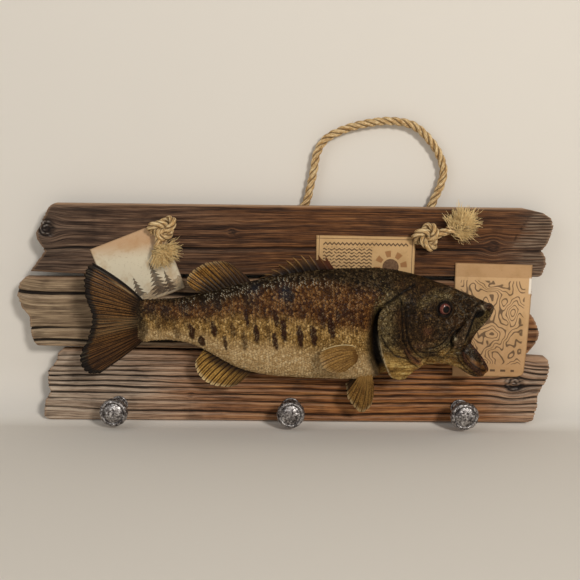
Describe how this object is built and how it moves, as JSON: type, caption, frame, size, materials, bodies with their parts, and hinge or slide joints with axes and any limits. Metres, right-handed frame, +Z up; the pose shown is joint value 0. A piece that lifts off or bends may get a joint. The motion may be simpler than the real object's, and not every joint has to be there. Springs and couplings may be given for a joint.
{
  "type": "mounted trophy fish on a plank board",
  "caption": "Trophy fish mounted on a rustic plank board with coat knobs, paper cards and a knotted rope to hang it by.",
  "frame": {"origin": "on the wall plane, on the back of the middle batten at half the board's height", "axes": "+X along the board from the fish's tail to its head, +Y into the wall, +Z up"},
  "size_m": [0.618, 0.1054, 0.3536],
  "materials": {
    "wood_dark": "weathered, stained dark brown",
    "wood_tan": "weathered, stained tan",
    "wood_grey": "weathered, grey-brown wash",
    "wood_batten": "rough sawn",
    "card_paper": "aged matt paper",
    "knob_metal": "mottled antique pewter",
    "rope_fibre": "natural three-strand fibre rope",
    "fish_skin": "painted and lacquered scaled skin",
    "fish_fin": "painted and lacquered ribbed fin",
    "eye_glass": "polished glass eye"
  },
  "bodies": {
    "root": {"plank_top": "wood_dark", "plank_middle": "wood_tan", "plank_bottom": "wood_grey", "batten_left": "wood_batten", "batten_centre": "wood_batten", "batten_right": "wood_batten", "card_left": "card_paper", "card_centre": "card_paper", "card_right": "card_paper", "knob_left": "knob_metal", "knob_middle": "knob_metal", "knob_right": "knob_metal", "rope": "rope_fibre", "knot_left": "rope_fibre", "knot_right": "rope_fibre", "fray_left": "rope_fibre", "fray_right": "rope_fibre", "tail_stalk": "fish_skin", "trunk_rear": "fish_skin", "trunk_front": "fish_skin", "head": "fish_skin", "upper_jaw": "fish_skin", "lower_jaw": "fish_skin", "gill_cover": "fish_skin", "eye_near": "eye_glass", "eye_far": "eye_glass", "tail_fin": "fish_fin", "dorsal_fin_soft": "fish_fin", "dorsal_fin_spiny": "fish_fin", "anal_fin": "fish_fin", "pectoral_fin": "fish_fin", "pelvic_fin_near": "fish_fin", "pelvic_fin_far": "fish_fin"}
  },
  "joints": []
}
